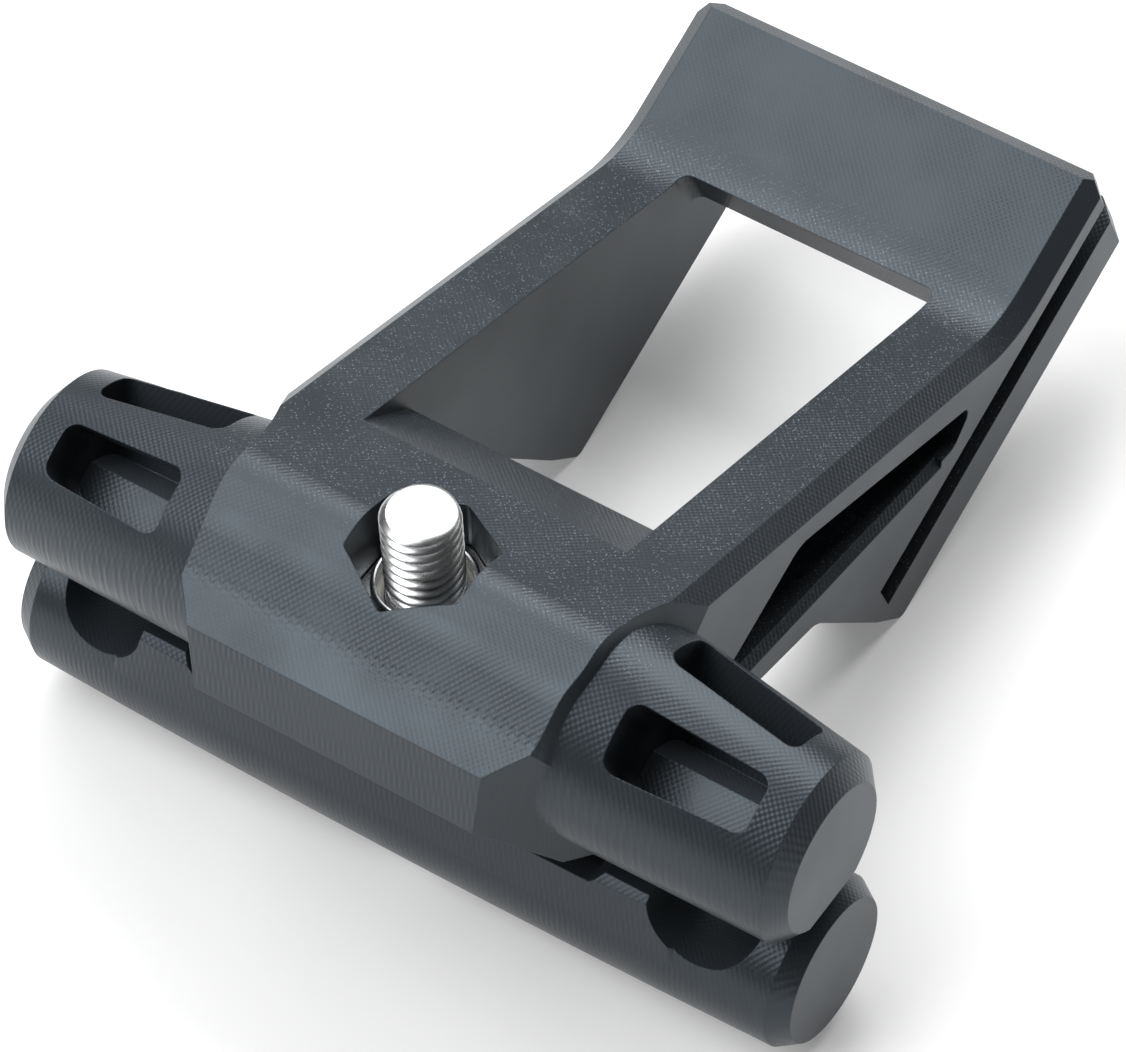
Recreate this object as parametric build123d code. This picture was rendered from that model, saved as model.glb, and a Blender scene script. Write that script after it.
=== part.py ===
"""Saddle bag mount for the rails of a bicycle saddle.

One machined aluminium body, a clamp bar below it, and an M5 screw with a lock nut.
Millimetres. X runs across the two rails, Y back along them, Z up. The screw stands on Z.
"""
import os
from math import cos, radians, sin, tan

from build123d import *

# Saddle rails that the clamp holds
RAIL_DIAMETER = 7.0
RAIL_SPACING = 44.0
RAIL_Z = -15.5

# Screw and lock nut, both M5
THREAD_DIAMETER = 5.0
SCREW_LENGTH = 25.0
SCREW_TIP_Z = 3.56
TIP_BEVEL = 0.45
HEAD_DIAMETER = 8.5
HEAD_HEIGHT = 5.0
HEAD_EDGE = 0.4
KEY_FLATS = 4.0
KEY_DEPTH = 2.5
NUT_FLATS = 8.0
NUT_HEIGHT = 5.0
NUT_HEX_HEIGHT = 3.2
NUT_TOP_Z = -2.69
NUT_COLLAR_RADIUS = 3.3
NUT_COLLAR_WALL = 0.3
NUT_LIP = 0.25
NUT_CORNER_CUT = 0.5
NUT_POCKET_CORNER = 0.4

# Fits
RUNNING_GAP = 0.05
THREAD_GAP = 0.03
NUT_FLAT_GAP = 0.075
HEAD_GAP = 0.35

# Body seen from the side
FOLD_Y = -0.5
FOLD_Z = 0.87
FOLD_RADIUS = 3.8
BEAM_SLOPE = 18.13
BEND_Y = 42.3
BEND_RADIUS = 8.0
PLATE_SLOPE = 22.0
PLATE_LENGTH = 11.8
CHEEK_HEIGHT = 8.65
BROW_SLOPE = 19.4
BROW_REACH = 3.7
BROW_RADIUS = 5.0
NOSE_SLOPE = 38.5
NOSE_REACH = 2.7
NOSE_RADIUS = 2.5
LIP_SLOPE = 24.0
LIP_REACH = 2.81
FACE_REACH = 0.56
FACE_HEIGHT = 5.12
BARREL_FLAT_Z = -14.05
UNDERCUT_Y = -6.2
ARM_FRONT_Y = 6.6
ARM_MID_Y = 12.4
ARM_MID_Z = -16.0
ARM_REAR_Y = 19.0
ARM_REAR_Z = -17.45
HEEL_Y = 26.1
HEEL_Z = -25.2
TOE_Y = 29.0
ARM_RADIUS = 2.5
HEEL_RADIUS = 6.0
TOE_RADIUS = 0.8

# Body seen from above
BODY_HALF_WIDTH = 15.15
SIDE_BEVEL = 1.2
SHOULDER_HALF_WIDTH = 12.9
SHOULDER_FRONT_Y = -2.0
SHOULDER_REAR_Y = 3.2
SHOULDER_RUN_OUT = 5.0
SHOULDER_FLARE = 1.3
SHOULDER_RADIUS = 9.0
NOSE_TAPER = 0.296
SHOULDER_SLOPE = 17.0
FACET_INNER = 10.0
FACET_OUTER = 12.45
FACET_DEPTH = 2.9
REAR_BEVEL_ALONG = 0.95
REAR_BEVEL_DOWN = 1.35
REAR_CORNER = 1.3

# Window, channel below the plate, side slots and side pockets
WINDOW_HALF_WIDTH = 9.45
WINDOW_FRONT_Y = 7.24
WINDOW_CORNER = 0.8
RAMP_END_Y = 12.0
RAMP_SLOPE = 39.0
PLATE_WEB = 3.0
SLOT_DROP = 2.65
SLOT_WIDTH = 2.5
SLOT_DEPTH = 3.0
SLOT_LENGTH = 30.0
POCKET_DEPTH = 4.0
POCKET_FRONT_Y = 8.6
POCKET_FRONT_TOP_Z = -11.4
POCKET_FRONT_LOW_Z = -13.0
POCKET_PEAK_Y = 17.3
POCKET_PEAK_Z = -7.85
POCKET_TIP_Y = 37.3
POCKET_TIP_Z = -15.1
POCKET_END_Y = 35.0
POCKET_END_Z = -17.2
POCKET_PEAK_RADIUS = 2.5
POCKET_RADIUS = 0.7
POCKET_EDGE = 0.55

# Barrels
BARREL_AXIS_Z = -9.9
BARREL_HALF_LENGTH = 28.31
BARREL_END_RADIUS = 6.1
BARREL_END_BEVEL = 1.11
BARREL_END_DROP = 1.25
BARREL_RISE = 7.75
BARREL_TAPER = 4.4
BARREL_ROOT_X = 11.0
VENT_INNER_X = 15.9
VENT_OUTER_X = 25.1
VENT_INNER_WIDTH = 4.5
VENT_OUTER_WIDTH = 3.7
VENT_AXIS_Z = -9.1
VENT_CORNER = 0.9
VENT_TURN = 29.0
VENT_FLOOR = 0.7

# Clamp bar
BAR_AXIS_Z = -21.25
BAR_HALF_LENGTH = 28.4
BAR_MID_RADIUS = 6.1
BAR_NECK_RADIUS = 5.72
BAR_END_RADIUS = 4.87
BAR_END_BEVEL = 1.3
CROWN_STEPS = 4
SHOULDER_HEIGHT = 0.95
SHOULDER_INSET = 0.1
BAR_SIDE_SLOPE = 9.0
BAR_SHOULDER_X = 18.7
BAR_SHOULDER_RADIUS = 7.4
BAR_RUN_OUT = 2.0
BAR_RECESS = 0.85
BAR_RECESS_HALF_LENGTH = 14.5

# Derived values
screw_under_head_z = SCREW_TIP_Z - SCREW_LENGTH
nut_seat_z = NUT_TOP_Z - NUT_HEIGHT
shank_radius = THREAD_DIAMETER / 2
rail_radius = RAIL_DIAMETER / 2
sides = (-1, 1)
beam_drop = tan(radians(BEAM_SLOPE))
bend_z = FOLD_Z - beam_drop * (BEND_Y - FOLD_Y)
HIGH = 40.0
TOUCH = 0.01


def along_plate(u, n):
    """Point in the side view, u along the plate from the bend and n up from its top face."""
    c, s = cos(radians(PLATE_SLOPE)), sin(radians(PLATE_SLOPE))
    return BEND_Y + u * c - n * s, bend_z + u * s + n * c


def rounded(points, radii):
    """Closed outline through the points, with the corner at each point rounded if it has a radius."""
    outline = Polyline(*points, close=True)
    for point, radius in zip(points, radii):
        if radius:
            corner = outline.vertices().sort_by_distance((point[0], point[1], 0))[0]
            outline = fillet_2d_corner(outline, corner, radius)
    return make_face(outline.edges())


def fillet_2d_corner(outline, corner, radius):
    return Wire(outline.edges()).fillet_2d(radius, [corner])


def side_extrude(face, reach):
    """Side-view face made solid to the same distance on both sides of the middle."""
    return extrude(Plane.YZ * face, reach, both=True)


# Main body: side outline
brow_y = FOLD_Y - BROW_REACH
brow_z = FOLD_Z - BROW_REACH * tan(radians(BROW_SLOPE))
nose_y = brow_y - NOSE_REACH
nose_z = brow_z - NOSE_REACH * tan(radians(NOSE_SLOPE))
lip_y = nose_y - LIP_REACH
lip_z = nose_z - LIP_REACH * tan(radians(LIP_SLOPE))
face_y = lip_y - FACE_REACH
face_z = lip_z - FACE_HEIGHT
rear_top = along_plate(PLATE_LENGTH, 0)
rear_low = along_plate(PLATE_LENGTH, -CHEEK_HEIGHT)
toe_u = (TOE_Y - along_plate(0, -CHEEK_HEIGHT)[0]) / cos(radians(PLATE_SLOPE))
toe = along_plate(toe_u, -CHEEK_HEIGHT)

side_points = [
    (face_y, face_z), (lip_y, lip_z), (nose_y, nose_z), (brow_y, brow_z), (FOLD_Y, FOLD_Z),
    (BEND_Y, bend_z), rear_top, rear_low, toe, (HEEL_Y, HEEL_Z), (ARM_REAR_Y, ARM_REAR_Z),
    (ARM_MID_Y, ARM_MID_Z), (ARM_FRONT_Y, BARREL_FLAT_Z), (UNDERCUT_Y, BARREL_FLAT_Z),
]
side_radii = [0, 0, NOSE_RADIUS, BROW_RADIUS, FOLD_RADIUS,
              BEND_RADIUS, 0, 0, TOE_RADIUS, HEEL_RADIUS, ARM_RADIUS,
              0, 0, 0]
side_face = rounded(side_points, side_radii)
body = side_extrude(side_face, BODY_HALF_WIDTH)

# Bevel along both upper edges, from the shoulder to the rear end
upper_edges = (
    body.edges().filter_by(lambda e: abs(abs(e.center().X) - BODY_HALF_WIDTH) < TOUCH)
    .filter_by(lambda e: e.center().Y > FOLD_Y + FOLD_RADIUS / 4)
    .filter_by(lambda e: e.center().Z > FOLD_Z - beam_drop * (e.center().Y - FOLD_Y) - SIDE_BEVEL / 2)
)
body = chamfer(upper_edges, SIDE_BEVEL)

# Bevels round the rear end of the plate
rear_plane = Plane(origin=(0, *rear_top), x_dir=(1, 0, 0),
                   z_dir=(0, -sin(radians(PLATE_SLOPE)), cos(radians(PLATE_SLOPE))))
rear_wedge = Polyline((0, 0), (-REAR_BEVEL_ALONG, 0), (0, -REAR_BEVEL_DOWN), close=True)
wedge_plane = Plane(origin=rear_plane.origin, x_dir=rear_plane.y_dir, z_dir=(1, 0, 0))
body -= extrude(wedge_plane * make_face(rear_wedge), BODY_HALF_WIDTH, both=True)
for side in sides:
    corner = Polyline((side * BODY_HALF_WIDTH, 0), (side * (BODY_HALF_WIDTH - REAR_CORNER), 0),
                      (side * BODY_HALF_WIDTH, -REAR_CORNER), close=True)
    body -= extrude(rear_plane * make_face(corner), CHEEK_HEIGHT * 1.5, both=True)

# Shoulders: the front part narrows and its sides lean out as they go down


def shoulder_outline(z):
    grow = (FOLD_Z - z) * tan(radians(SHOULDER_SLOPE))
    front_y = -HIGH
    front_x = SHOULDER_HALF_WIDTH - NOSE_TAPER * (SHOULDER_FRONT_Y - front_y) + grow
    width = SHOULDER_HALF_WIDTH + grow
    flare_y = SHOULDER_REAR_Y + SHOULDER_RUN_OUT
    right = [(front_x, front_y), (width, SHOULDER_FRONT_Y), (width, SHOULDER_REAR_Y),
             (width + SHOULDER_FLARE, flare_y), (width + SHOULDER_FLARE, HIGH * 2)]
    left = [(-x, y) for x, y in reversed(right)]
    bends = [0, SHOULDER_RADIUS, SHOULDER_RADIUS, SHOULDER_RADIUS, 0]
    return Plane.XY.offset(z) * rounded(right + left, bends + bends[::-1])


body &= loft([shoulder_outline(-HIGH), shoulder_outline(FOLD_Z)], ruled=True)

# Upright facets at the two front corners
facet_slope = FACET_DEPTH / (FACET_OUTER - FACET_INNER)
for side in sides:
    facet = Polyline(
        (side * FACET_INNER, face_y), (side * FACET_OUTER, face_y + FACET_DEPTH),
        (side * (FACET_OUTER + FACET_DEPTH), face_y + FACET_DEPTH * (1 + facet_slope)),
        (side * (FACET_OUTER + FACET_DEPTH), face_y - FACET_DEPTH),
        (side * (FACET_INNER - FACET_DEPTH / facet_slope), face_y - FACET_DEPTH), close=True)
    body -= extrude(make_face(facet), HIGH, both=True)

# Window with its front ramp, open below through the channel between the cheeks
window_top_z = FOLD_Z - beam_drop * (WINDOW_FRONT_Y - FOLD_Y)
ramp_end_z = window_top_z - (RAMP_END_Y - WINDOW_FRONT_Y) * tan(radians(RAMP_SLOPE))
web_top = along_plate(0, 0)
web_low = along_plate(0, -PLATE_WEB)
web_end = along_plate(PLATE_LENGTH * 2, -PLATE_WEB)
above_window = along_plate(0, PLATE_WEB)
ramp_over = tan(radians(RAMP_SLOPE)) * WINDOW_FRONT_Y
opening = Polyline(
    (0, window_top_z + ramp_over), (RAMP_END_Y, ramp_end_z), (RAMP_END_Y, -HIGH),
    (web_end[0], -HIGH), web_end, web_low, above_window, (above_window[0], HIGH / 4), (0, HIGH / 4),
    close=True)
window = side_extrude(make_face(opening), WINDOW_HALF_WIDTH)
window -= Pos(0, WINDOW_FRONT_Y - HIGH / 2, 0) * Box(HIGH, HIGH, HIGH)
upright = window.edges().filter_by(
    lambda e: abs(abs(e.center().X) - WINDOW_HALF_WIDTH) < TOUCH
    and web_top[0] - PLATE_WEB < e.center().Y < web_low[0] + TOUCH and e.length > PLATE_WEB)
window = fillet(upright, WINDOW_CORNER)
body -= window

# Slots in both sides of the plate, open at the rear
slot_front = PLATE_LENGTH - SLOT_LENGTH
slot_box = [along_plate(slot_front, -SLOT_DROP), along_plate(PLATE_LENGTH * 2, -SLOT_DROP),
            along_plate(PLATE_LENGTH * 2, -SLOT_DROP - SLOT_WIDTH),
            along_plate(slot_front, -SLOT_DROP - SLOT_WIDTH)]
slot_face = make_face(Polyline(*slot_box, close=True))
for side in sides:
    slot_plane = Plane(origin=(side * BODY_HALF_WIDTH, 0, 0), x_dir=(0, 1, 0), z_dir=(1, 0, 0))
    body -= extrude(slot_plane * slot_face, SLOT_DEPTH, both=True)

# Pockets in both sides, below the beams
pocket_points = [(POCKET_FRONT_Y, POCKET_FRONT_TOP_Z), (POCKET_PEAK_Y, POCKET_PEAK_Z),
                 (POCKET_TIP_Y, POCKET_TIP_Z), (POCKET_END_Y, POCKET_END_Z),
                 (POCKET_FRONT_Y, POCKET_FRONT_LOW_Z)]
pocket_radii = [POCKET_RADIUS, POCKET_PEAK_RADIUS, POCKET_RADIUS, POCKET_RADIUS * 2, POCKET_RADIUS]
pocket_face = rounded(pocket_points, pocket_radii)
for side in sides:
    pocket_plane = Plane(origin=(side * BODY_HALF_WIDTH, 0, 0), x_dir=(0, 1, 0), z_dir=(1, 0, 0))
    body -= extrude(pocket_plane * pocket_face, POCKET_DEPTH, both=True)
    edge_start = Vector(side * BODY_HALF_WIDTH, *pocket_points[-1])
    edge_run = Vector(side * BODY_HALF_WIDTH, *pocket_points[-2]) - edge_start
    edge_plane = Plane(origin=edge_start + edge_run * (POCKET_RADIUS / edge_run.length),
                       x_dir=(-side, 0, 0), z_dir=edge_run)
    bevel = Polyline((2 * POCKET_EDGE, side * POCKET_EDGE), (-POCKET_EDGE, side * POCKET_EDGE),
                     (-POCKET_EDGE, side * -2 * POCKET_EDGE), close=True)
    body -= extrude(edge_plane * make_face(bevel), edge_run.length - 3 * POCKET_RADIUS, dir=edge_run)

# Barrels on both sides: cones whose axes rise towards the body, with a flat underside
rise = radians(BARREL_RISE)
barrel_plane = Plane(origin=(BARREL_HALF_LENGTH, 0, BARREL_AXIS_Z),
                     x_dir=(cos(rise), 0, -sin(rise)), z_dir=(0, -1, 0))
barrel_axis = Axis(barrel_plane.origin, barrel_plane.x_dir)
root_run = (BARREL_HALF_LENGTH - BARREL_ROOT_X) / cos(rise)
widening = tan(radians(BARREL_TAPER))
barrel_outline = Polyline((-root_run, 0), (-root_run, BARREL_END_RADIUS + widening * root_run),
                          (BARREL_END_RADIUS, BARREL_END_RADIUS * (1 - widening)),
                          (BARREL_END_RADIUS, 0), close=True)
right_barrel = revolve(barrel_plane * make_face(barrel_outline), barrel_axis)
right_barrel -= Pos(BARREL_HALF_LENGTH + HIGH / 2, 0, 0) * Box(HIGH, HIGH, HIGH * 2)
barrel_end = right_barrel.faces().sort_by(Axis.X)[-1]
right_barrel = chamfer(barrel_end.edges(), BARREL_END_DROP, BARREL_END_BEVEL, reference=barrel_end)
right_barrel -= Pos(0, 0, BARREL_FLAT_Z - HIGH / 2) * Box(HIGH * 2, HIGH, HIGH)
for barrel in (right_barrel, mirror(right_barrel, Plane.YZ)):
    body += barrel

# Vents: tapered slots milled down to the middle of the barrels, where they meet
vent_points = [(VENT_INNER_X, -VENT_INNER_WIDTH / 2), (VENT_OUTER_X, -VENT_OUTER_WIDTH / 2),
               (VENT_OUTER_X, VENT_OUTER_WIDTH / 2), (VENT_INNER_X, VENT_INNER_WIDTH / 2)]
vent_face = rounded(vent_points, [VENT_CORNER] * len(vent_points))
for side in sides:
    turn = radians(side * VENT_TURN)
    floor = Plane(origin=(0, 0, VENT_AXIS_Z), x_dir=(1, 0, 0), z_dir=(0, sin(turn), cos(turn)))
    vent = extrude(floor.offset(VENT_FLOOR) * vent_face, BARREL_END_RADIUS * 2)
    body -= vent
    body -= mirror(vent, Plane.YZ)

# Rail grooves in the flat underside
for side in sides:
    rail = Pos(side * RAIL_SPACING / 2, 0, RAIL_Z) * Rot(90, 0, 0) * Cylinder(rail_radius, HIGH)
    body -= rail

# Hexagon pocket for the lock nut, and the bore for the screw
pocket_flats = NUT_FLATS + 2 * NUT_FLAT_GAP
nut_hexagon = RegularPolygon(pocket_flats / 2, 6, major_radius=False, rotation=30)
nut_pocket = extrude(Plane.XY.offset(nut_seat_z) * nut_hexagon, HIGH / 2)
body -= fillet(nut_pocket.edges().filter_by(Axis.Z), NUT_POCKET_CORNER)
body -= Cylinder(shank_radius + RUNNING_GAP, HIGH * 2)
main_body = body

# Clamp bar: crowned round bar, with upright sides between the rails


def crown_radius(x):
    """The bar's radius, largest in the middle and falling towards both necks."""
    return BAR_MID_RADIUS - (BAR_MID_RADIUS - BAR_NECK_RADIUS) * (x / bar_neck_x) ** 2


bar_neck_x = BAR_HALF_LENGTH - BAR_END_BEVEL
crown_xs = [bar_neck_x * step / CROWN_STEPS for step in range(-CROWN_STEPS, CROWN_STEPS + 1)]
crown = [(x, crown_radius(x)) for x in crown_xs]
bar_outline = Polyline((-BAR_HALF_LENGTH, 0), (-BAR_HALF_LENGTH, BAR_END_RADIUS), *crown,
                       (BAR_HALF_LENGTH, BAR_END_RADIUS), (BAR_HALF_LENGTH, 0), close=True)
bar_plane = Plane(origin=(0, 0, BAR_AXIS_Z), x_dir=(1, 0, 0), z_dir=(0, -1, 0))
bar_axis = Axis(bar_plane.origin, bar_plane.x_dir)
bar_round = revolve(bar_plane * make_face(bar_outline), bar_axis)

run_out_x = BAR_SHOULDER_X + BAR_RUN_OUT
upright_xs = [x for x in crown_xs if abs(x) < run_out_x]
upright = [(x, crown_radius(x) - SHOULDER_INSET) for x in [-run_out_x, *upright_xs, run_out_x]]
upright_face = make_face(Polyline(*[(x, -y) for x, y in upright], *reversed(upright), close=True))
bar_upright = extrude(Plane.XY.offset(BAR_AXIS_Z + SHOULDER_HEIGHT) * upright_face,
                      RAIL_Z - BAR_AXIS_Z, taper=BAR_SIDE_SLOPE)
limit = [(BAR_SHOULDER_X, BAR_SHOULDER_RADIUS), (run_out_x, BAR_NECK_RADIUS), (run_out_x, 0)]
limit_outline = Polyline(*limit, *[(-x, r) for x, r in reversed(limit)], close=True)
bar = bar_round + (bar_upright & revolve(bar_plane * make_face(limit_outline), bar_axis))
bar -= Pos(0, 0, RAIL_Z + HIGH / 2) * Box(HIGH * 2, HIGH, HIGH)
recess_top = BAR_RECESS_HALF_LENGTH + BAR_RECESS
recess = Polyline((-recess_top, RAIL_Z), (-BAR_RECESS_HALF_LENGTH, RAIL_Z - BAR_RECESS),
                  (BAR_RECESS_HALF_LENGTH, RAIL_Z - BAR_RECESS), (recess_top, RAIL_Z), close=True)
bar -= extrude(Plane.XZ * make_face(recess), HIGH, both=True)
for side in sides:
    bar -= Pos(side * RAIL_SPACING / 2, 0, RAIL_Z) * Rot(90, 0, 0) * Cylinder(rail_radius, HIGH)
bar -= Cylinder(shank_radius + RUNNING_GAP, HIGH * 2)
bar -= Pos(0, 0, screw_under_head_z - HIGH / 2) * Cylinder(HEAD_DIAMETER / 2 + HEAD_GAP, HIGH)
clamp_bar = bar

# Screw with its hexagon socket
shank = Pos(0, 0, screw_under_head_z + SCREW_LENGTH / 2) * Cylinder(shank_radius, SCREW_LENGTH)
shank = chamfer(shank.edges().sort_by(Axis.Z)[-1], TIP_BEVEL)
head = Pos(0, 0, screw_under_head_z - HEAD_HEIGHT / 2) * Cylinder(HEAD_DIAMETER / 2, HEAD_HEIGHT)
head = chamfer(head.edges().sort_by(Axis.Z)[0], HEAD_EDGE)
head_bottom_z = screw_under_head_z - HEAD_HEIGHT
key_hexagon = RegularPolygon(KEY_FLATS / 2, 6, major_radius=False)
clamp_bolt = shank + head - extrude(Plane.XY.offset(head_bottom_z) * key_hexagon, KEY_DEPTH)

# Lock nut: hexagon, round collar with a rolled lip, and the plastic ring that it holds
nut_bore = shank_radius + THREAD_GAP
hexagon = extrude(RegularPolygon(NUT_FLATS / 2, 6, major_radius=False, rotation=30), NUT_HEX_HEIGHT)
cone_radius = NUT_FLATS / 2 / cos(radians(30))
round_off = Cylinder(cone_radius, NUT_HEX_HEIGHT, align=(Align.CENTER, Align.CENTER, Align.MIN))
round_off = chamfer(round_off.edges().filter_by(GeomType.CIRCLE), NUT_CORNER_CUT / 2, NUT_CORNER_CUT)
collar = Cylinder(NUT_COLLAR_RADIUS, NUT_HEIGHT, align=(Align.CENTER, Align.CENTER, Align.MIN))
collar = fillet(collar.edges().sort_by(Axis.Z)[-1], NUT_COLLAR_WALL)
nut = (hexagon & round_off) + collar
ring_radius = NUT_COLLAR_RADIUS - NUT_COLLAR_WALL
ring_height = NUT_HEIGHT - NUT_HEX_HEIGHT - NUT_LIP
ring_seat = Pos(0, 0, NUT_HEX_HEIGHT)
nut -= Cylinder(nut_bore, HIGH)
nut -= ring_seat * Cylinder(ring_radius, ring_height, align=(Align.CENTER, Align.CENTER, Align.MIN))
lock_nut = Pos(0, 0, nut_seat_z) * nut
ring = Cylinder(ring_radius, ring_height, align=(Align.CENTER, Align.CENTER, Align.MIN))
ring -= Cylinder(nut_bore, HIGH)
nut_insert = Pos(0, 0, nut_seat_z + NUT_HEX_HEIGHT) * ring

# The whole object is centred on the middle of its box
nodes = {"main_body": main_body, "clamp_bar": clamp_bar, "clamp_bolt": clamp_bolt,
         "lock_nut": lock_nut, "nut_insert": nut_insert}
whole = Compound([solid for shape in nodes.values() for solid in shape.solids()]).bounding_box()
middle = whole.center()

os.makedirs("parts", exist_ok=True)
for name, shape in nodes.items():
    placed = Pos(-middle.X, -middle.Y, -middle.Z) * shape
    print(name, "solids", len(placed.solids()), "valid", placed.is_valid, "volume", round(placed.volume, 1))
    export_step(placed, f"parts/{name}.step")
print("size", whole.size, "middle in the screw's frame", middle)
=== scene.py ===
"""Dresses the saddle bag mount: black anodised aluminium, bright steel screw and lock nut."""

from math import cos, pi, radians, sin

import bpy
from mathutils import Matrix, Vector


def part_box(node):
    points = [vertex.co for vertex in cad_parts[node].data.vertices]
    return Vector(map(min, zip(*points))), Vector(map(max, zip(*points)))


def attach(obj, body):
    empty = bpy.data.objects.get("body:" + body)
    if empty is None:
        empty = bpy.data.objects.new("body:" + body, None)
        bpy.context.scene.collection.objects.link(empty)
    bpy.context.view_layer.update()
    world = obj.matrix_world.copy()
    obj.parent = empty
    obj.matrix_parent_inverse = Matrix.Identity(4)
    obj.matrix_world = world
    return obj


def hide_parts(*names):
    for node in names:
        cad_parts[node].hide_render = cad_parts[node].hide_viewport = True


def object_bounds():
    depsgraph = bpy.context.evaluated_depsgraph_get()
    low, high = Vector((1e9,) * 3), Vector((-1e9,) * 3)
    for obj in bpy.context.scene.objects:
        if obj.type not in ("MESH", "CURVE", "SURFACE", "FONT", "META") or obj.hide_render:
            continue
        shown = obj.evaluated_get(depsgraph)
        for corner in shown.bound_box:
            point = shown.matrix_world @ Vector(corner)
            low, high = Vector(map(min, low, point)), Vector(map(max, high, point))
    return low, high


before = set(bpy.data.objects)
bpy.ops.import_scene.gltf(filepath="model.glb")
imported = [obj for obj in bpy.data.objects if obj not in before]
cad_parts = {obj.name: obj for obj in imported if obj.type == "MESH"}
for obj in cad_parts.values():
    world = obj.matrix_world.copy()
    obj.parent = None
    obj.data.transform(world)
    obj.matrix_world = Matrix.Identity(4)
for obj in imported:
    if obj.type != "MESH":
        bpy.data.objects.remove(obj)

bl_info = {
    "name": "Saddle Bag Mount",
    "version": (1, 0, 0),
    "blender": (4, 5, 0),
    "location": "3D View > Sidebar > Bag Mount",
    "description": "Finishes and threaded parts of a clamp-on saddle bag mount",
    "category": "Object",
}

MM = 0.001
CAD_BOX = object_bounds()
SCREW_LOW, SCREW_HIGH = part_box("clamp_bolt")
AXIS_X = 0.0
AXIS_Y = (SCREW_LOW[1] + SCREW_HIGH[1]) / 2
TIP_Z = SCREW_HIGH[2]
HEAD_END_Z = SCREW_LOW[2]
NUT_LOW, NUT_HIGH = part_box("lock_nut")
RING_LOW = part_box("nut_insert")[0]

# Steps in one turn, for round bars and turned sections and for the coarser thread
ROUND_STEPS = 96
THREAD_STEPS = 40

# The crossed rows' turn in degrees, and the pitch and place of the ripples in millimetres
ROW_TURNS = (-45, 45)
RIPPLE_PITCH = 0.6
RIPPLE_LINE = 6.8
EDGE_SOFTNESS = 0.12
# Size in millimetres of the painted glints, bright specks painted into the colour
GLINT_SIZE = 0.11

# The screw and the ring, in millimetres, with the thread's depth as a share of its pitch
THREAD_DEPTH = 0.54
TOOTH_PITCH = 0.8
TIP_BEVEL = 0.85
HEAD_HEIGHT, HEAD_RADIUS = 5.0, 4.25
KEY_FLATS, KEY_DEPTH = 4.0, 2.5
RING_HEIGHT = 0.55

# Soft boxes: azimuth from the front towards the right, elevation in degrees, power in watts
SOFT_BOX_DISTANCE = 0.7
SOFT_BOX_SIDE = 0.45
SOFT_BOXES = (("back_light", 180, 52, 3.4), ("back_left_light", 222, 52, 2.2),
              ("high_light", 296, 66, 2.6), ("front_left_light", 325, 45, 2.7))
ROOM_LIGHT = 0.06
FLOOR_FILL = 0.2
FLOOR_SIDE = 6.0

# Camera: turn, height and roll in degrees, and its place from the screw's tip in millimetres
VIEW_AZIMUTH, VIEW_ELEVATION, VIEW_ROLL = 36.285, 51.593, -3.2147
LENS_PLACE = (144.02, -182.636, 290.224)
LENS_LENGTH = 204.6
LENS_SHIFT = (0.0034, 0.0088)
SENSOR_WIDTH = 36.0


def linear(hex_colour):
    """sRGB hex colour as linear RGBA."""
    channels = [int(hex_colour[i:i + 2], 16) / 255 for i in (1, 3, 5)]
    return [c / 12.92 if c <= 0.04045 else ((c + 0.055) / 1.055) ** 2.4 for c in channels] + [1.0]


def add_node(tree, kind, settings=None, inputs=None):
    """Adds a node, sets its properties and fills its inputs with values or links."""
    node = tree.nodes.new(kind)
    for name, value in (settings or {}).items():
        setattr(node, name, value)
    for name, value in (inputs or {}).items():
        if isinstance(value, bpy.types.NodeSocket):
            tree.links.new(value, node.inputs[name])
        else:
            node.inputs[name].default_value = value
    return node


def new_material(name):
    """Empty node material with its output and shader."""
    material = bpy.data.materials.new(name)
    material.use_nodes = True
    tree = material.node_tree
    tree.nodes.clear()
    output = add_node(tree, "ShaderNodeOutputMaterial")
    shader = add_node(tree, "ShaderNodeBsdfPrincipled")
    tree.links.new(shader.outputs["BSDF"], output.inputs["Surface"])
    return material, tree, shader


def dress(obj, material):
    """Gives an object one material."""
    obj.data.materials.clear()
    obj.data.materials.append(material)


def select_only(obj):
    """Selects one object and makes it active."""
    bpy.ops.object.select_all(action="DESELECT")
    obj.select_set(True)
    bpy.context.view_layer.objects.active = obj


def apply_modifier(obj, kind, **settings):
    """Adds a modifier with its settings and applies it."""
    select_only(obj)
    modifier = obj.modifiers.new("step", kind)
    for name, value in settings.items():
        setattr(modifier, name, value)
    bpy.ops.object.modifier_apply(modifier="step")


def combine(obj, other, operation):
    """Joins, cuts or crosses a shape with a helper shape, which goes away."""
    apply_modifier(obj, "BOOLEAN", operation=operation, object=other, solver="EXACT")
    bpy.data.objects.remove(other)


def round_bar(radius, low, high, sides=ROUND_STEPS):
    """Round bar on the working axis, heights in millimetres."""
    bpy.ops.object.select_all(action="DESELECT")
    bpy.ops.mesh.primitive_cylinder_add(
        vertices=sides, radius=radius * MM, depth=(high - low) * MM,
        location=(0, 0, (low + high) / 2 * MM))
    bpy.ops.object.transform_apply(location=True, rotation=True, scale=True)
    return bpy.context.active_object


def bevel_rim(obj, height, width, segments):
    """Bevels the rim of a round bar at one height, sizes in millimetres."""
    mesh = obj.data
    bpy.ops.object.mode_set(mode="EDIT")
    bpy.ops.mesh.select_all(action="DESELECT")
    bpy.ops.mesh.select_mode(type="EDGE")
    bpy.ops.object.mode_set(mode="OBJECT")
    for edge in mesh.edges:
        edge.select = all(abs(mesh.vertices[i].co.z - height * MM) < 1e-7 for i in edge.vertices)
    bpy.ops.object.mode_set(mode="EDIT")
    bpy.ops.mesh.bevel(offset=width * MM, offset_type="OFFSET", segments=segments, profile=0.5,
                       affect="EDGES")
    bpy.ops.object.mode_set(mode="OBJECT")


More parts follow.
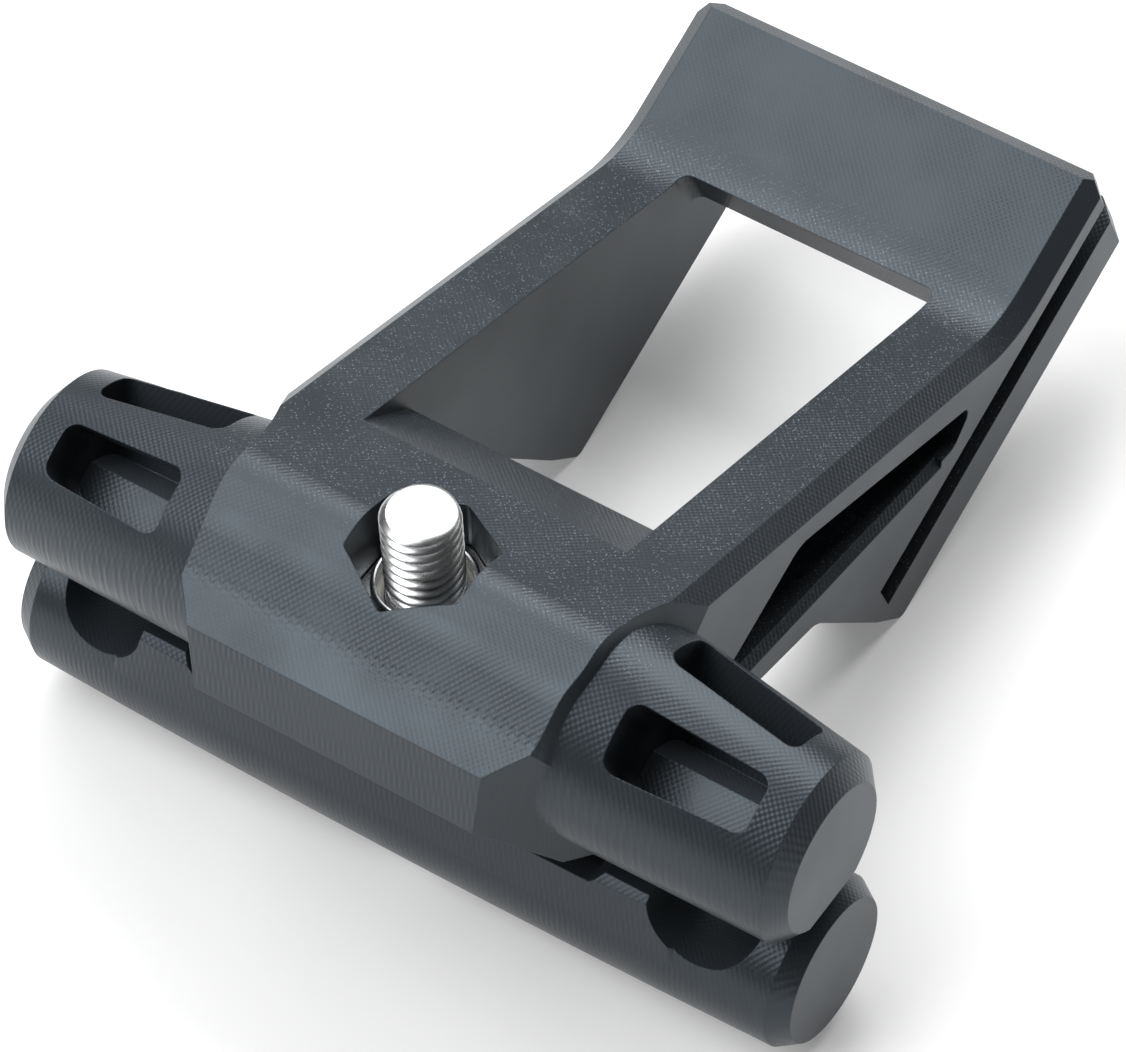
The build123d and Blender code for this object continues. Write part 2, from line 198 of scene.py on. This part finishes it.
def outline(points, name):
    """Chain of edges through (radius, height) points in millimetres, by extruding a vertex."""
    bpy.ops.object.select_all(action="DESELECT")
    radius, height = points[0]
    bpy.ops.mesh.primitive_plane_add(size=MM, location=(radius * MM, 0, height * MM))
    obj = bpy.context.active_object
    obj.name = obj.data.name = name
    bpy.ops.object.transform_apply(location=True, rotation=True, scale=True)
    bpy.ops.object.mode_set(mode="EDIT")
    bpy.ops.mesh.select_mode(type="VERT")
    bpy.ops.mesh.select_all(action="SELECT")
    bpy.ops.mesh.merge(type="CENTER")
    for (r0, h0), (r1, h1) in zip(points, points[1:]):
        step = ((r1 - r0) * MM, 0, (h1 - h0) * MM)
        bpy.ops.mesh.extrude_region_move(TRANSFORM_OT_translate={"value": step})
    bpy.ops.object.mode_set(mode="OBJECT")
    return obj


def revolve():
    """Turns the active outline once round the working axis."""
    bpy.ops.object.mode_set(mode="EDIT")
    bpy.ops.mesh.select_all(action="SELECT")
    bpy.ops.mesh.spin(steps=ROUND_STEPS, angle=2 * pi, center=(0, 0, 0), axis=(0, 0, 1))
    bpy.ops.object.mode_set(mode="OBJECT")


def tidy_shell(obj):
    """Merges doubles, then turns all faces outwards."""
    select_only(obj)
    bpy.ops.object.mode_set(mode="EDIT")
    bpy.ops.mesh.select_all(action="SELECT")
    bpy.ops.mesh.remove_doubles(threshold=1e-6)
    bpy.ops.mesh.normals_make_consistent(inside=False)
    bpy.ops.object.mode_set(mode="OBJECT")


def close_ends(obj):
    """Closes each open end of a tube with a cone of faces to one point."""
    tidy_shell(obj)
    bpy.ops.object.mode_set(mode="EDIT")
    bpy.ops.mesh.select_mode(type="EDGE")
    bpy.ops.mesh.select_all(action="DESELECT")
    bpy.ops.mesh.select_non_manifold(use_wire=False, use_multi_face=False,
                                     use_non_contiguous=False, use_verts=False)
    bpy.ops.mesh.extrude_region_move()
    bpy.ops.mesh.merge(type="COLLAPSE")
    bpy.ops.object.mode_set(mode="OBJECT")
    tidy_shell(obj)


def finish_piece(obj, name, lift, smooth):
    """Names a piece, moves it onto the screw's axis and shades it smooth below an angle."""
    tidy_shell(obj)
    obj.name = obj.data.name = name
    obj.location = (AXIS_X, AXIS_Y, lift)
    bpy.ops.object.transform_apply(location=True, rotation=True, scale=True)
    bpy.ops.object.shade_smooth_by_angle(angle=radians(smooth))
    return obj


class MountSettings(bpy.types.PropertyGroup):
    """Sizes and colours of the mount."""
    body_colour: bpy.props.StringProperty(
        name="Body colour", description="Colour of the anodised body", default="#2a2e32")
    mark_pitch: bpy.props.FloatProperty(
        name="Cutter mark pitch",
        description="Distance between the rows that the cutter leaves, in millimetres",
        default=0.28, min=0.1, max=2.0)
    mark_depth: bpy.props.FloatProperty(
        name="Cutter mark depth", description="Depth of the cutter's rows, in millimetres",
        default=0.022, min=0.0, max=0.05)
    thread_pitch: bpy.props.FloatProperty(
        name="Thread pitch", description="Pitch of the M5 thread, in millimetres",
        default=0.8, min=0.5, max=1.0)
    thread_radius: bpy.props.FloatProperty(
        name="Thread radius", description="Outer radius of the thread, in millimetres",
        default=2.47, min=2.0, max=2.47)
    steel_colour: bpy.props.StringProperty(
        name="Steel colour", description="Colour of the screw and the nut", default="#d6d8d9")
    nylon_colour: bpy.props.StringProperty(
        name="Ring colour", description="Colour of the plastic locking ring", default="#d9d7cf")
    floor_colour: bpy.props.StringProperty(
        name="Floor colour", description="Colour of the floor", default="#e4e4e4")


def cutter_relief(tree, settings, place, split, facing, patches):
    """Height of the cutter's rows, its ripples and a fine grain."""
    # Two crossing families of rows: at scale 1 a wave is 2 pi / 20 units long
    scale = 2 * pi / (20 * settings.mark_pitch * MM)
    waves = []
    for turn in ROW_TURNS:
        turned = add_node(tree, "ShaderNodeMapping", {},
                          {"Vector": place, "Rotation": (0.0, 0.0, radians(turn))})
        wave = add_node(tree, "ShaderNodeTexWave", {"wave_type": "BANDS", "bands_direction": "X"},
                        {"Vector": turned.outputs["Vector"], "Scale": scale, "Distortion": 0.5,
                         "Detail": 1.0, "Detail Scale": 0.02})
        waves.append(wave.outputs["Fac"])
    rows = add_node(tree, "ShaderNodeMath", {"operation": "ADD"}, {0: waves[0], 1: waves[1]})

    # The ends, cut square across, carry no rows, and elsewhere they fade in patches
    side = add_node(tree, "ShaderNodeMath", {"operation": "ABSOLUTE"}, {0: facing.outputs["X"]})
    milled = add_node(tree, "ShaderNodeMapRange", {},
                      {"Value": side.outputs["Value"], "From Min": 0.8, "From Max": 0.97,
                       "To Min": 1.0, "To Max": 0.0})
    patch = add_node(tree, "ShaderNodeMapRange", {},
                     {"Value": patches.outputs["Fac"], "From Min": 0.35, "From Max": 0.65,
                      "To Min": 0.35, "To Max": 1.0})
    strength = add_node(tree, "ShaderNodeMath", {"operation": "MULTIPLY"},
                        {0: milled.outputs["Result"], 1: patch.outputs["Result"]})
    marks = add_node(tree, "ShaderNodeMath", {"operation": "MULTIPLY"},
                     {0: rows.outputs["Value"], 1: strength.outputs["Value"]})

    # Coarser ripples across the line where the front slope breaks off
    ripple = add_node(tree, "ShaderNodeTexWave", {"wave_type": "BANDS", "bands_direction": "X"},
                      {"Vector": place, "Scale": 2 * pi / (20 * RIPPLE_PITCH * MM),
                       "Distortion": 0.8, "Detail": 0.0})
    off = add_node(tree, "ShaderNodeMath", {"operation": "SUBTRACT"},
                   {0: split.outputs["Y"], 1: AXIS_Y - RIPPLE_LINE * MM})
    away = add_node(tree, "ShaderNodeMath", {"operation": "ABSOLUTE"}, {0: off.outputs["Value"]})
    near = add_node(tree, "ShaderNodeMapRange", {},
                    {"Value": away.outputs["Value"], "From Max": 0.9 * MM,
                     "To Min": 1.6, "To Max": 0.0})
    rippled = add_node(tree, "ShaderNodeMath", {"operation": "MULTIPLY_ADD"},
                       {0: ripple.outputs["Fac"], 1: near.outputs["Result"],
                        2: marks.outputs["Value"]})
    grain = add_node(tree, "ShaderNodeTexNoise", {},
                     {"Vector": place, "Scale": 7000.0, "Detail": 2.0})
    relief = add_node(tree, "ShaderNodeMath", {"operation": "MULTIPLY_ADD"},
                      {0: grain.outputs["Fac"], 1: 0.25, 2: rippled.outputs["Value"]})
    return relief.outputs["Value"]


def painted_glints(tree, place, split, facing):
    """Share of painted glints: bright specks that stand in for glints of light, on the upper
    sides between the fold and the plate.
    """
    glint_cells = add_node(tree, "ShaderNodeTexVoronoi", {},
                      {"Vector": place, "Scale": 1 / (GLINT_SIZE * MM)})
    pick = add_node(tree, "ShaderNodeSeparateColor", {}, {"Color": glint_cells.outputs["Color"]})
    chosen = add_node(tree, "ShaderNodeMath", {"operation": "GREATER_THAN"},
                      {0: pick.outputs["Red"], 1: 0.88})
    core = add_node(tree, "ShaderNodeMapRange", {},
                    {"Value": glint_cells.outputs["Distance"], "From Min": 0.15, "From Max": 0.45,
                     "To Min": 1.0, "To Max": 0.0})
    front = add_node(tree, "ShaderNodeMapRange", {},
                     {"Value": split.outputs["Y"], "From Min": AXIS_Y - 2 * MM,
                      "From Max": AXIS_Y + 1 * MM})
    rear = add_node(tree, "ShaderNodeMapRange", {},
                    {"Value": split.outputs["Y"], "From Min": AXIS_Y + 41 * MM,
                     "From Max": AXIS_Y + 46 * MM, "To Min": 1.0, "To Max": 0.0})
    upper = add_node(tree, "ShaderNodeMapRange", {},
                     {"Value": facing.outputs["Z"], "From Min": 0.6, "From Max": 0.85})
    width = add_node(tree, "ShaderNodeMath", {"operation": "ABSOLUTE"}, {0: split.outputs["X"]})
    inside = add_node(tree, "ShaderNodeMapRange", {},
                      {"Value": width.outputs["Value"], "From Min": 15.0 * MM,
                       "From Max": 16.5 * MM, "To Min": 1.0, "To Max": 0.0})
    share = core.outputs["Result"]
    for part in (chosen.outputs["Value"], front.outputs["Result"], rear.outputs["Result"],
                 upper.outputs["Result"], inside.outputs["Result"]):
        share = add_node(tree, "ShaderNodeMath", {"operation": "MULTIPLY"},
                         {0: share, 1: part}).outputs["Value"]
    return share


def anodised_aluminium(settings):
    """Aluminium milled with a ball cutter, then anodised black.

    The cutter's crossing rows stay visible as a fine grid, the ends that are cut square are
    plain, and the coat gives a satin grey sheen. Small bright specks on the beams are painted
    glints in the colour.
    """
    material, tree, shader = new_material("milled_black_anodised_aluminium")
    place = add_node(tree, "ShaderNodeTexCoord").outputs["Object"]
    split = add_node(tree, "ShaderNodeSeparateXYZ", {}, {"Vector": place})
    normal = add_node(tree, "ShaderNodeNewGeometry").outputs["Normal"]
    facing = add_node(tree, "ShaderNodeSeparateXYZ", {}, {"Vector": normal})
    patches = add_node(tree, "ShaderNodeTexNoise", {},
                       {"Vector": place, "Scale": 160.0, "Detail": 2.0})
    relief = cutter_relief(tree, settings, place, split, facing, patches)
    edges = add_node(tree, "ShaderNodeBevel", {"samples": 4}, {"Radius": EDGE_SOFTNESS * MM})
    bump = add_node(tree, "ShaderNodeBump", {},
                    {"Strength": 1.0, "Distance": settings.mark_depth * MM / 2,
                     "Height": relief, "Normal": edges.outputs["Normal"]})
    # Painted glints: pale specks mixed into the base colour on the up-facing beams, in place of
    # glints of light
    colour = add_node(tree, "ShaderNodeMix", {"data_type": "RGBA"},
                      {"Factor": painted_glints(tree, place, split, facing),
                       6: linear(settings.body_colour), 7: linear("#87929a")})
    rough = add_node(tree, "ShaderNodeMapRange", {},
                     {"Value": patches.outputs["Fac"], "From Min": 0.3, "From Max": 0.7,
                      "To Min": 0.33, "To Max": 0.4})
    tree.links.new(colour.outputs[2], shader.inputs["Base Color"])
    shader.inputs["Metallic"].default_value = 0.05
    shader.inputs["Specular Tint"].default_value = linear("#dcecf8")
    tree.links.new(rough.outputs["Result"], shader.inputs["Roughness"])
    tree.links.new(bump.outputs["Normal"], shader.inputs["Normal"])
    return material


def bright_steel(settings):
    """Steel, thread-rolled and zinc plated.

    Bright with a faint cloud from the bath, so highlights stay sharp but are not quite even.
    """
    material, tree, shader = new_material("bright_zinc_plated_steel")
    place = add_node(tree, "ShaderNodeTexCoord").outputs["Object"]
    cloud = add_node(tree, "ShaderNodeTexNoise", {},
                     {"Vector": place, "Scale": 1500.0, "Detail": 3.0})
    rough = add_node(tree, "ShaderNodeMapRange", {},
                     {"Value": cloud.outputs["Fac"], "From Min": 0.3, "From Max": 0.7,
                      "To Min": 0.26, "To Max": 0.32})
    bump = add_node(tree, "ShaderNodeBump", {},
                    {"Strength": 0.1, "Distance": 0.01 * MM, "Height": cloud.outputs["Fac"]})
    shader.inputs["Base Color"].default_value = linear(settings.steel_colour)
    shader.inputs["Metallic"].default_value = 1.0
    tree.links.new(rough.outputs["Result"], shader.inputs["Roughness"])
    tree.links.new(bump.outputs["Normal"], shader.inputs["Normal"])
    return material


def nylon(settings):
    """Nylon, moulded and left natural: off-white and matte, with a slight cloud in its gloss."""
    material, tree, shader = new_material("natural_moulded_nylon")
    place = add_node(tree, "ShaderNodeTexCoord").outputs["Object"]
    cloud = add_node(tree, "ShaderNodeTexNoise", {},
                     {"Vector": place, "Scale": 900.0, "Detail": 2.0})
    rough = add_node(tree, "ShaderNodeMapRange", {},
                     {"Value": cloud.outputs["Fac"], "To Min": 0.4, "To Max": 0.55})
    shader.inputs["Base Color"].default_value = linear(settings.nylon_colour)
    tree.links.new(rough.outputs["Result"], shader.inputs["Roughness"])
    return material


def pale_floor(settings):
    """Matte paint, pale and plain. What the camera or a reflection sees of it is lifted to
    white, while the light on it and the part's shadow stay as they fall."""
    material, tree, shader = new_material("pale_floor")
    shader.inputs["Base Color"].default_value = linear(settings.floor_colour)
    shader.inputs["Roughness"].default_value = 0.9
    rays = add_node(tree, "ShaderNodeLightPath")
    seen = rays.outputs["Is Camera Ray"]
    for ray in ("Is Glossy Ray", "Is Transmission Ray"):
        seen = add_node(tree, "ShaderNodeMath", {"operation": "MAXIMUM"},
                        {0: seen, 1: rays.outputs[ray]}).outputs["Value"]
    fill = add_node(tree, "ShaderNodeMath", {"operation": "MULTIPLY"}, {0: seen, 1: FLOOR_FILL})
    shader.inputs["Emission Color"].default_value = (1, 1, 1, 1)
    tree.links.new(fill.outputs["Value"], shader.inputs["Emission Strength"])
    # Otherwise the fill is sampled as a lamp and lights the part from below
    material.cycles.emission_sampling = "NONE"
    return material


class MOUNT_OT_body(bpy.types.Operator):
    """Gives the body and the clamp bar their milled anodised finish"""
    bl_idname = "mount.body"
    bl_label = "Finish Body and Clamp Bar"

    def execute(self, context):
        finish = anodised_aluminium(context.scene.mount_settings)
        for node in ("main_body", "clamp_bar"):
            dress(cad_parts[node], finish)
        return {"FINISHED"}


class MOUNT_OT_screw(bpy.types.Operator):
    """Models the M5 screw with its rolled thread, round head and hexagon socket"""
    bl_idname = "mount.screw"
    bl_label = "Model Clamp Screw"

    def execute(self, context):
        settings = context.scene.mount_settings
        pitch, crest = settings.thread_pitch, settings.thread_radius
        root = crest - THREAD_DEPTH * pitch
        height = (TIP_Z - HEAD_END_Z) / MM
        tooth = [(root, 0.0), (root, 0.1), (root + 0.24, 0.25), (crest - 0.05, 0.34),
                 (crest, 0.42), (crest - 0.05, 0.5), (root + 0.24, 0.59), (root, 0.72),
                 (root, TOOTH_PITCH)]
        # A hair off the flat faces' heights, so that no corner of the thread lies in one of them
        start = HEAD_HEIGHT - 1.4 * pitch + 0.005
        thread = outline([(r, h * pitch / TOOTH_PITCH + start) for r, h in tooth], "clamp_screw")
        turns = int((height - HEAD_HEIGHT) / pitch) + 3
        apply_modifier(thread, "SCREW", axis="Z", angle=2 * pi, screw_offset=pitch * MM,
                       iterations=turns, steps=THREAD_STEPS, render_steps=THREAD_STEPS,
                       use_merge_vertices=False)
        close_ends(thread)
        blank = round_bar(crest + 0.2, HEAD_HEIGHT - 0.1, height)
        bevel_rim(blank, height, TIP_BEVEL, 8)
        combine(thread, blank, "INTERSECT")

        head = round_bar(HEAD_RADIUS, 0.0, HEAD_HEIGHT)
        bevel_rim(head, 0.0, 0.4, 4)
        bevel_rim(head, HEAD_HEIGHT, 0.15, 2)
        key = round_bar(KEY_FLATS / 2 / cos(pi / 6), -1.0, KEY_DEPTH, 6)
        key.rotation_euler = (0, 0, pi / 6)
        bpy.ops.object.transform_apply(location=True, rotation=True, scale=True)
        combine(head, key, "DIFFERENCE")
        combine(thread, head, "UNION")
        screw = finish_piece(thread, "clamp_screw", HEAD_END_Z, 40)
        dress(screw, bright_steel(settings))
        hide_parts("clamp_bolt")
        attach(screw, "bolt")
        return {"FINISHED"}


class MOUNT_OT_nut(bpy.types.Operator):
    """Models the lock nut with its round collar and rolled lip, and the ring that it holds"""
    bl_idname = "mount.nut"
    bl_label = "Model Lock Nut"

    def execute(self, context):
        settings = context.scene.mount_settings
        height = (NUT_HIGH[2] - NUT_LOW[2]) / MM
        hexagon_height, flats, bore, collar, seat, lip = 3.2, 8.0, 2.53, 3.3, 3.0, 2.92
        section = [(bore, 0.05), (seat + 0.1, 0.05), (seat + 0.1, 0.1), (collar, 0.1),
                   (collar, height - 0.3), (collar - 0.07, height - 0.12),
                   (collar - 0.18, height - 0.02), (collar - 0.25, height),
                   (lip + 0.04, height - 0.04), (lip, height - 0.12), (lip + 0.03, height - 0.25),
                   (seat, height - 0.3), (seat, hexagon_height), (bore, hexagon_height),
                   (bore, 0.05)]
        sleeve = outline(section, "lock_nut_shell")
        revolve()
        tidy_shell(sleeve)
        corner = flats / 2 / cos(pi / 6)
        hexagon = round_bar(corner, 0.0, hexagon_height, 6)
        rounding = round_bar(corner, -0.01, hexagon_height + 0.01)
        bevel_rim(rounding, hexagon_height + 0.01, 0.3, 2)
        bevel_rim(rounding, -0.01, 0.3, 2)
        combine(hexagon, rounding, "INTERSECT")
        hole = round_bar(seat + 0.05, -1.0, hexagon_height + 1.0)
        combine(hexagon, hole, "DIFFERENCE")
        combine(sleeve, hexagon, "UNION")
        nut = finish_piece(sleeve, "lock_nut_shell", NUT_LOW[2], 35)
        dress(nut, bright_steel(settings))
        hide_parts("lock_nut")
        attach(nut, "mount")

        section = [(bore, 0.0), (seat - 0.01, 0.0), (seat - 0.01, RING_HEIGHT),
                   (bore + 0.2, RING_HEIGHT), (bore, RING_HEIGHT - 0.25), (bore, 0.0)]
        ring = outline(section, "locking_ring")
        revolve()
        ring = finish_piece(ring, "locking_ring", RING_LOW[2], 35)
        dress(ring, nylon(settings))
        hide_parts("nut_insert")
        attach(ring, "mount")
        return {"FINISHED"}


class MOUNT_OT_stage(bpy.types.Operator):
    """Adds the floor, the soft studio light and the camera"""
    bl_idname = "mount.stage"
    bl_label = "Set the Stage"

    def execute(self, context):
        bpy.ops.object.select_all(action="DESELECT")
        bpy.ops.mesh.primitive_plane_add(size=FLOOR_SIDE, location=(0, 0, CAD_BOX[0][2]))
        floor = context.active_object
        floor.name = "floor"
        dress(floor, pale_floor(context.scene.mount_settings))

        for name, azimuth, elevation, power in SOFT_BOXES:
            around, above = radians(azimuth), radians(elevation)
            away = Vector((sin(around) * cos(above), -cos(around) * cos(above), sin(above)))
            bpy.ops.object.light_add(type="AREA", location=away * SOFT_BOX_DISTANCE)
            lamp = context.active_object
            lamp.name = name
            lamp.data.shape = "SQUARE"
            lamp.data.size = SOFT_BOX_SIDE
            lamp.data.energy = power
            lamp.rotation_euler = (-away).to_track_quat("-Z", "Y").to_euler()

        world = bpy.data.worlds.new("studio")
        context.scene.world = world
        world.use_nodes = True
        tree = world.node_tree
        tree.nodes.clear()
        back = add_node(tree, "ShaderNodeBackground", {},
                        {"Color": (1, 1, 1, 1), "Strength": ROOM_LIGHT})
        output = add_node(tree, "ShaderNodeOutputWorld")
        tree.links.new(back.outputs["Background"], output.inputs["Surface"])

        camera_data = bpy.data.cameras.new("camera")
        camera = bpy.data.objects.new("camera", camera_data)
        context.collection.objects.link(camera)
        context.scene.camera = camera
        around, above = radians(VIEW_AZIMUTH), radians(VIEW_ELEVATION)
        back_axis = Vector((sin(around) * cos(above), -cos(around) * cos(above), sin(above)))
        right_axis = Vector((cos(around), sin(around), 0))
        up_axis = back_axis.cross(right_axis)
        turn = Matrix((right_axis, up_axis, back_axis)).transposed()
        turn = turn @ Matrix.Rotation(radians(VIEW_ROLL), 3, "Z")
        tip = Vector((AXIS_X, AXIS_Y, TIP_Z))
        camera.matrix_world = Matrix.Translation(tip + Vector(LENS_PLACE) * MM) @ turn.to_4x4()
        camera_data.sensor_width = SENSOR_WIDTH
        camera_data.lens = LENS_LENGTH
        camera_data.shift_x, camera_data.shift_y = LENS_SHIFT
        context.scene.view_settings.view_transform = "Standard"
        return {"FINISHED"}


class MOUNT_PT_panel(bpy.types.Panel):
    """Panel with the steps that dress the mount"""
    bl_label = "Bag Mount"
    bl_idname = "MOUNT_PT_panel"
    bl_space_type = "VIEW_3D"
    bl_region_type = "UI"
    bl_category = "Bag Mount"

    def draw(self, context):
        settings = context.scene.mount_settings
        for name in settings.bl_rna.properties.keys():
            if name not in ("rna_type", "name"):
                self.layout.prop(settings, name)
        for operator in OPERATORS:
            self.layout.operator(operator.bl_idname)


OPERATORS = (MOUNT_OT_body, MOUNT_OT_screw, MOUNT_OT_nut, MOUNT_OT_stage)
CLASSES = (MountSettings, *OPERATORS, MOUNT_PT_panel)


def register():
    for cls in CLASSES:
        bpy.utils.register_class(cls)
    bpy.types.Scene.mount_settings = bpy.props.PointerProperty(type=MountSettings)


def unregister():
    del bpy.types.Scene.mount_settings
    for cls in reversed(CLASSES):
        bpy.utils.unregister_class(cls)


def main():
    register()
    bpy.ops.mount.body()
    bpy.ops.mount.screw()
    bpy.ops.mount.nut()
    bpy.ops.mount.stage()


if __name__ == "__main__":
    main()
